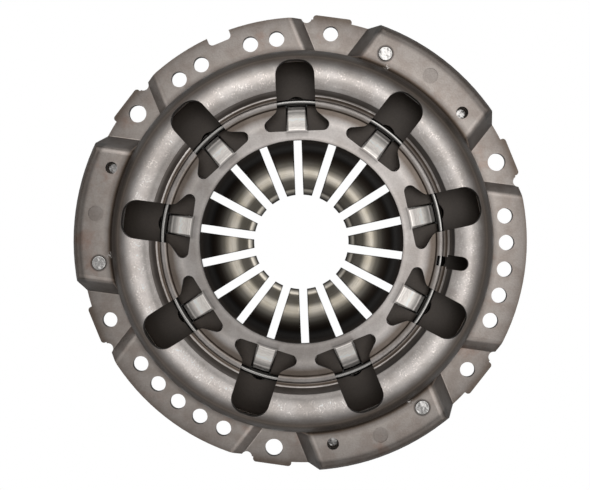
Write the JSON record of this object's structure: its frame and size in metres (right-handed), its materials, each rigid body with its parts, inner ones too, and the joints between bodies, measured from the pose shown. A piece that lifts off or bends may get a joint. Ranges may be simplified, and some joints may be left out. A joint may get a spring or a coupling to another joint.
{
  "type": "clutch pressure plate",
  "caption": "Diaphragm-spring clutch cover that clamps a driven plate against a flywheel; bent tabs hold the spring on wire rings and flat straps carry the pressure plate.",
  "frame": {"origin": "centre of the bolt circle, in the plane of the flywheel face that the cover's lugs stand on", "axes": "+Z along the crankshaft axis, towards the gearbox and the release bearing; the first strap pad lies at 50 degrees from +X towards +Y"},
  "size_m": [0.267, 0.269, 0.0405],
  "materials": {
    "cover_steel": "pressed sheet steel, satin brown-grey with a burnished dome",
    "spring_steel": "dark tempered spring steel, straw heat tint near the finger ends",
    "wire_steel": "bright drawn wire",
    "cast_iron": "grey cast iron, ground friction face",
    "strap_steel": "blued spring strip",
    "rivet_steel": "bright zinc-plated steel"
  },
  "bodies": {
    "clutch_cover": {"cover": "cover_steel", "diaphragm_spring": "spring_steel", "upper_fulcrum_ring": "wire_steel", "lower_fulcrum_ring": "wire_steel", "cover_rivet_a": "rivet_steel", "cover_rivet_b": "rivet_steel", "cover_rivet_c": "rivet_steel", "strap_a_leaf_1": "strap_steel", "strap_a_leaf_2": "strap_steel", "strap_a_leaf_3": "strap_steel", "strap_b_leaf_1": "strap_steel", "strap_b_leaf_2": "strap_steel", "strap_b_leaf_3": "strap_steel", "strap_c_leaf_1": "strap_steel", "strap_c_leaf_2": "strap_steel", "strap_c_leaf_3": "strap_steel"},
    "pressure_plate": {"pressure_plate": "cast_iron", "plate_rivet_a": "rivet_steel", "plate_rivet_b": "rivet_steel", "plate_rivet_c": "rivet_steel"}
  },
  "joints": [
    {"name": "pressure_plate_lift", "type": "slide", "parent": "clutch_cover", "child": "pressure_plate", "axis": [0, 0, 1], "range_m": [0, 0.0045], "stiffness_N_per_m": 100000, "deforming": ["diaphragm_spring", "strap_a_leaf_1", "strap_a_leaf_2", "strap_a_leaf_3", "strap_b_leaf_1", "strap_b_leaf_2", "strap_b_leaf_3", "strap_c_leaf_1", "strap_c_leaf_2", "strap_c_leaf_3"]}
  ]
}
